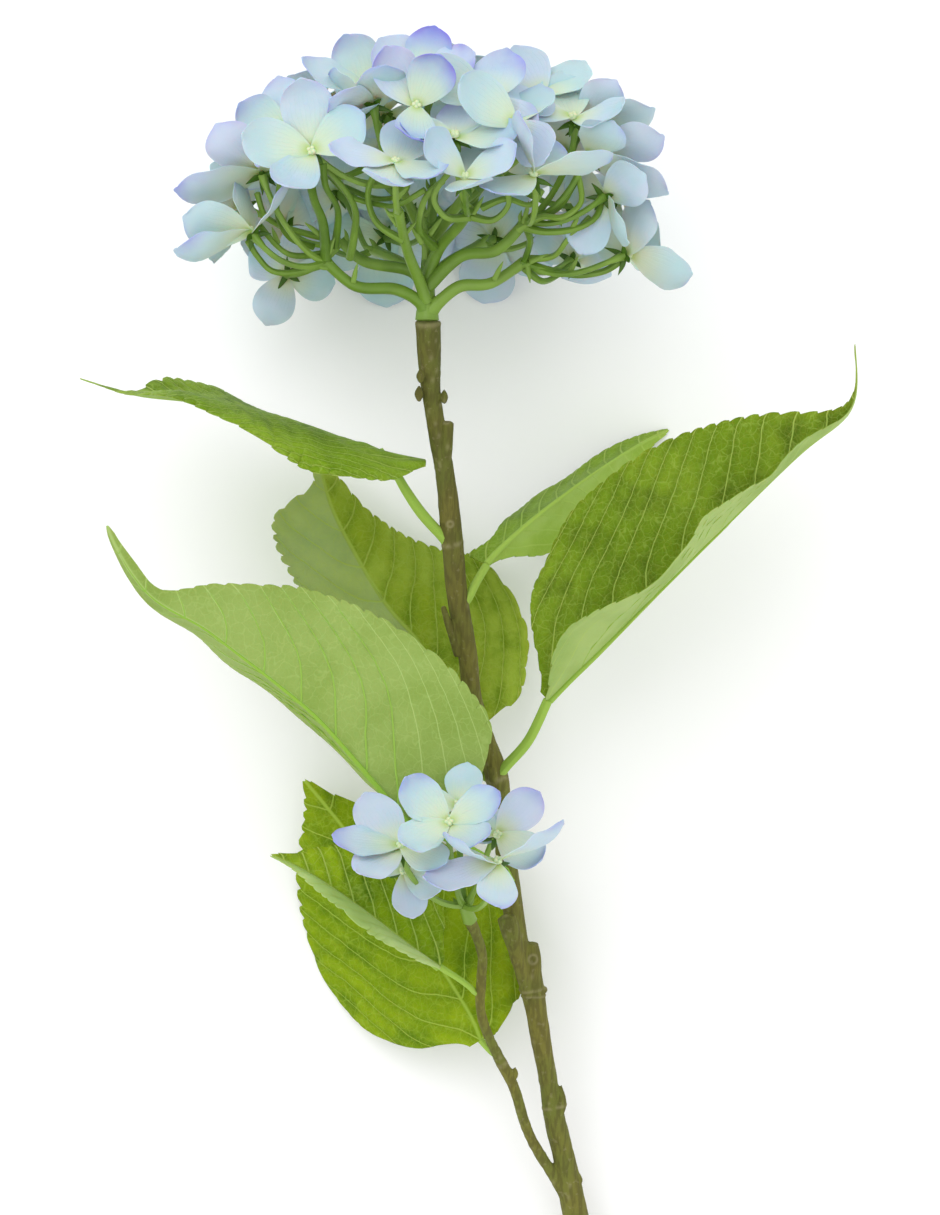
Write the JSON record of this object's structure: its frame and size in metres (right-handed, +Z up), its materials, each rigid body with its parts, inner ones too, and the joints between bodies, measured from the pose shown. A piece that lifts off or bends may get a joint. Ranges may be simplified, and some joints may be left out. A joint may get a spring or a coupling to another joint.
{
  "type": "cut hydrangea",
  "caption": "Cut hydrangea stem lying on its side, with a domed blue flower head, a small side bloom, broad toothed leaves and a slanted cut end.",
  "frame": {"origin": "middle of the stem's footprint, on the surface that it lies on", "axes": "+Z up from the surface, +Y along the stem from its cut end towards the bloom, +X to the right seen from above with the bloom at the top"},
  "size_m": [0.2575, 0.4402, 0.1548],
  "materials": {
    "petal": "matte",
    "leaf": "satin",
    "green_stalk": "satin",
    "bark": "matte"
  },
  "bodies": {
    "root": {"stem": "bark", "head_stalks": "green_stalk", "side_bloom_stalks": "green_stalk", "head_florets_front": "petal", "head_florets_left": "petal", "head_floret_far_left": "petal", "head_floret_low_left": "petal", "head_floret_low_right": "petal", "head_floret_right": "petal", "head_florets_rear": "petal", "side_bloom_florets_front": "petal", "side_bloom_florets_rear": "petal", "side_bloom_floret_low": "petal", "leaf_upper_left": "leaf", "leaf_left": "leaf", "leaf_right": "leaf", "leaf_right_rear": "leaf", "leaf_back": "leaf", "leaf_low": "leaf", "leaf_low_folded": "leaf"}
  },
  "joints": []
}
